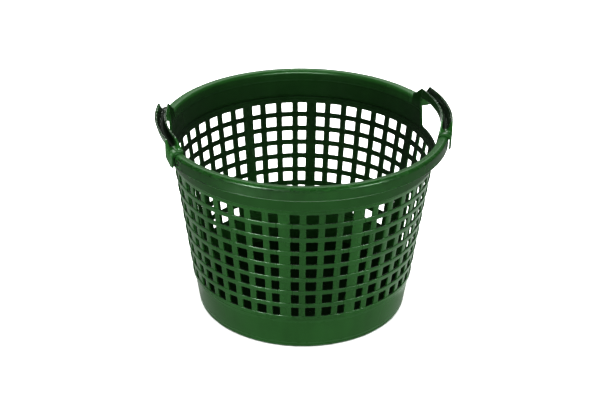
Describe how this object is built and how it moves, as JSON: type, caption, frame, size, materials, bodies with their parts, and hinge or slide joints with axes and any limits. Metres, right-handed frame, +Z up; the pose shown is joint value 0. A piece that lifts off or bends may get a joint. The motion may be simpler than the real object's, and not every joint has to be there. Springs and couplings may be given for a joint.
{
  "type": "garden basket",
  "caption": "Round tapered lattice basket of dark green plastic with a round-shouldered rim, two fixed trough-shaped grips over hand holes, a plain lower band and a floor with small drain holes",
  "frame": {"origin": "on the ground under the middle of the basket, in the plane of the foot ring's lower face", "axes": "+Z up, +X from the middle of the basket through the right-hand grip, +Y towards the back"},
  "size_m": [0.4094, 0.401, 0.287],
  "materials": {
    "green_plastic": "satin moulded polyethylene, dark green, coloured through"
  },
  "bodies": {
    "root": {"foot_ring": "green_plastic", "floor_plate": "green_plastic", "lower_band": "green_plastic", "panel_right": "green_plastic", "panel_back_right": "green_plastic", "panel_back": "green_plastic", "panel_back_left": "green_plastic", "panel_left": "green_plastic", "panel_front_left": "green_plastic", "panel_front": "green_plastic", "panel_front_right": "green_plastic", "upright_right_back": "green_plastic", "upright_back_right": "green_plastic", "upright_back_left": "green_plastic", "upright_left_back": "green_plastic", "upright_left_front": "green_plastic", "upright_front_left": "green_plastic", "upright_front_right": "green_plastic", "upright_right_front": "green_plastic", "upper_band_front": "green_plastic", "upper_band_back": "green_plastic", "sill_right": "green_plastic", "sill_left": "green_plastic", "rim_front": "green_plastic", "rim_back": "green_plastic", "grip_right": "green_plastic", "grip_left": "green_plastic", "grip_end_right_front": "green_plastic", "grip_end_right_back": "green_plastic", "grip_end_left_front": "green_plastic", "grip_end_left_back": "green_plastic"}
  },
  "joints": []
}
